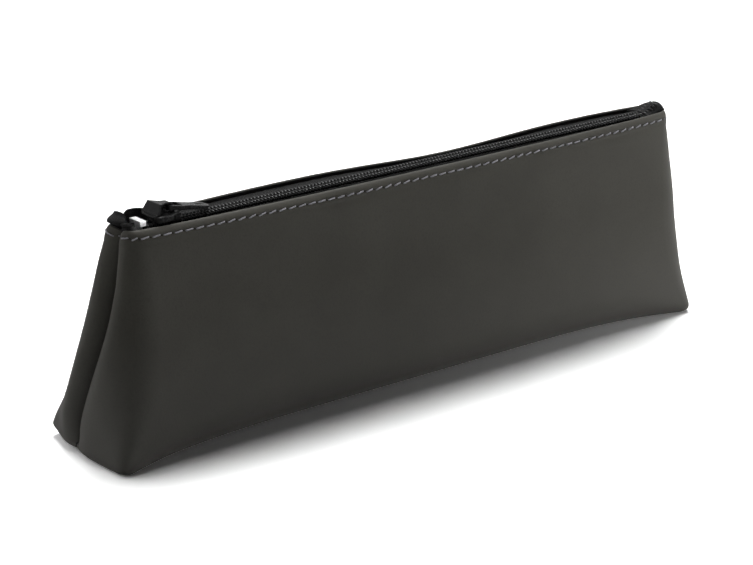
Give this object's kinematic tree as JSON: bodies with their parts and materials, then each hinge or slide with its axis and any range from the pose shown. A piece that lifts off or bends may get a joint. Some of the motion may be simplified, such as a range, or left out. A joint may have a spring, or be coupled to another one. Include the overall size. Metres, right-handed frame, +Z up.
{
  "type": "pencil case",
  "caption": "Leatherette pencil case with triangular ends, boxed base corners and a coil zip along the top with a sliding, locking slider and a pull tab.",
  "frame": {"origin": "on the floor, under the middle of the base", "axes": "+X along the case from the zip's top stops to its bottom stop, +Y to the back, +Z up"},
  "size_m": [0.2214, 0.0405, 0.0722],
  "materials": {
    "leatherette": "smooth matte dark olive-brown leatherette with a fine grain",
    "zip_fabric": "black woven zip tape",
    "coil_nylon": "black nylon filament",
    "black_enamel": "glossy black enamel on die-cast metal",
    "bright_metal": "bright pressed metal",
    "spring_steel": "bare spring steel",
    "lilac_thread": "lilac-grey twisted polyester thread",
    "dark_thread": "dark twisted polyester thread"
  },
  "bodies": {
    "case": {"front_panel": "leatherette", "back_panel": "leatherette", "front_topstitch": "lilac_thread", "back_topstitch": "lilac_thread", "front_zip_tape": "zip_fabric", "back_zip_tape": "zip_fabric", "front_coil": "coil_nylon", "back_coil": "coil_nylon", "front_top_stop": "bright_metal", "back_top_stop": "bright_metal", "bottom_stop": "bright_metal", "left_end_seam_thread": "dark_thread", "right_end_seam_thread": "dark_thread", "left_corner_seam_thread": "dark_thread", "right_corner_seam_thread": "dark_thread", "bottom_seam_thread": "dark_thread"},
    "slider": {"slider_body": "black_enamel", "slider_cap": "black_enamel", "lock_spring": "spring_steel"},
    "pull": {"pull_tab": "black_enamel"}
  },
  "joints": [
    {"name": "slider_slide", "type": "slide", "parent": "case", "child": "slider", "axis": [1, 0, 0], "range_m": [-0.0017, 0.1763]},
    {"name": "pull_swing", "type": "hinge", "parent": "slider", "child": "pull", "pos_m": [-0.0866, -0.0102, 0.07055], "axis": [0, -1, 0], "range_deg": [0, 120]}
  ]
}
